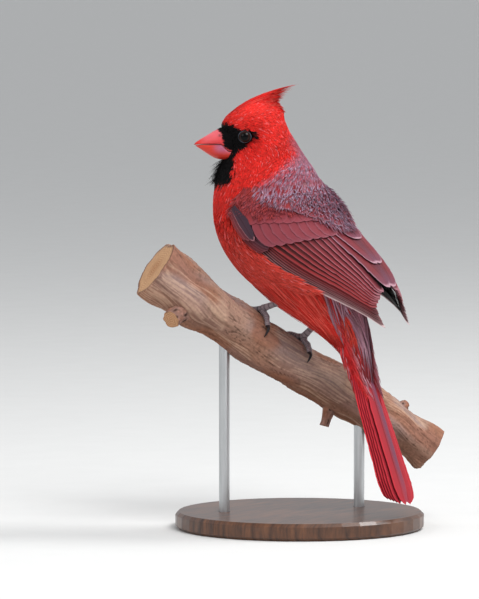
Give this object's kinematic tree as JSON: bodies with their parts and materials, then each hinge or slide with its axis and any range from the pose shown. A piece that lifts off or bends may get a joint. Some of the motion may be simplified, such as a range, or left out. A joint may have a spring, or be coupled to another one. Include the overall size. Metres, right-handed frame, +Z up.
{
  "type": "perched bird model",
  "caption": "Life-size model of a male northern cardinal perched on a short cut branch, held up on a plain round display stand.",
  "frame": {"origin": "middle of the underside of the stand's base, on the floor", "axes": "+Z up; the bird's body faces -Y; the bird's left side is +X"},
  "size_m": [0.1265, 0.1191, 0.2064],
  "materials": {
    "plumage_head": "soft bright red contour feathers, black round the bill",
    "plumage_body": "soft red contour feathers, rose grey on the back",
    "wing_feathers": "smooth dull rose vanes with pale grey edges",
    "tail_feathers": "smooth dark red vanes",
    "eye": "wet gloss, near black",
    "bill": "horn, satin coral red",
    "scaled_skin": "dull dark horny scales",
    "bark": "weathered juniper bark in rough strips",
    "stand_wood": "dark turned wood, satin",
    "stand_metal": "satin steel rod"
  },
  "bodies": {
    "root": {"head": "plumage_head", "neck": "plumage_head", "torso": "plumage_body", "eye_left": "eye", "eye_right": "eye", "bill_upper": "bill", "bill_lower": "bill", "wing_left": "wing_feathers", "wing_right": "wing_feathers", "tail": "tail_feathers", "leg_left": "scaled_skin", "leg_right": "scaled_skin", "foot_left": "scaled_skin", "foot_right": "scaled_skin", "perch": "bark", "stand_base": "stand_wood", "stand_rod_high": "stand_metal", "stand_rod_low": "stand_metal"}
  },
  "joints": []
}
